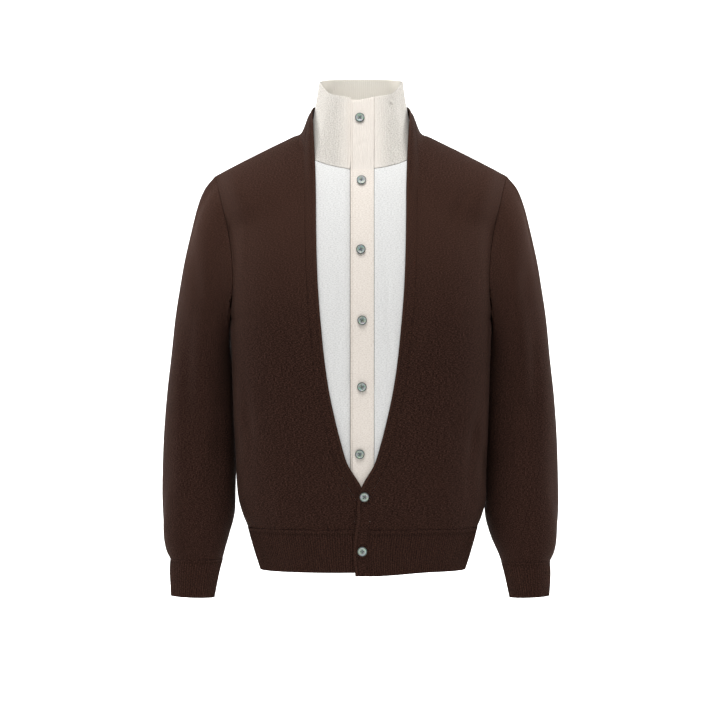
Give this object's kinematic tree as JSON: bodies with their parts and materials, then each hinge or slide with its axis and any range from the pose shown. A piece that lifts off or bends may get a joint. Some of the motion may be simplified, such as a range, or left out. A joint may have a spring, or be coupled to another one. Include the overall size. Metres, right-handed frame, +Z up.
{
  "type": "polo collar cardigan",
  "caption": "Worn, hollow V-neck cardigan in fine knit with a sewn-in white insert, a standing ribbed polo collar and a button placket.",
  "frame": {"origin": "on the centre line, level with the middle of the shoulders' slope, where the wearer's shoulders carry the garment", "axes": "+Z up the body, the front towards -Y, the wearer's left towards +X"},
  "size_m": [0.5968, 0.2617, 0.7822],
  "materials": {
    "brown_knit": "fine dark brown knit, matt",
    "brown_rib": "dark brown rib knit, matt",
    "cream_rib": "off-white rib knit, matt",
    "white_jersey": "white cotton jersey, matt",
    "cream_placket": "cream knit band, matt",
    "button_shell": "grey-green shell look, glossy"
  },
  "bodies": {
    "root": {"back": "brown_knit", "front_left": "brown_knit", "front_right": "brown_knit", "sleeve_left": "brown_knit", "sleeve_right": "brown_knit", "cuff_left": "brown_rib", "cuff_right": "brown_rib", "hem_back": "brown_rib", "hem_front_left": "brown_rib", "hem_front_right": "brown_rib", "band_left": "brown_rib", "band_right": "brown_rib", "collar": "cream_rib", "insert_left": "white_jersey", "insert_right": "white_jersey", "placket_top": "cream_placket", "placket_under": "cream_placket", "insert_button_1": "button_shell", "insert_button_2": "button_shell", "insert_button_3": "button_shell", "insert_button_4": "button_shell", "insert_button_5": "button_shell", "insert_button_6": "button_shell", "front_button_1": "button_shell", "front_button_2": "button_shell"}
  },
  "joints": []
}
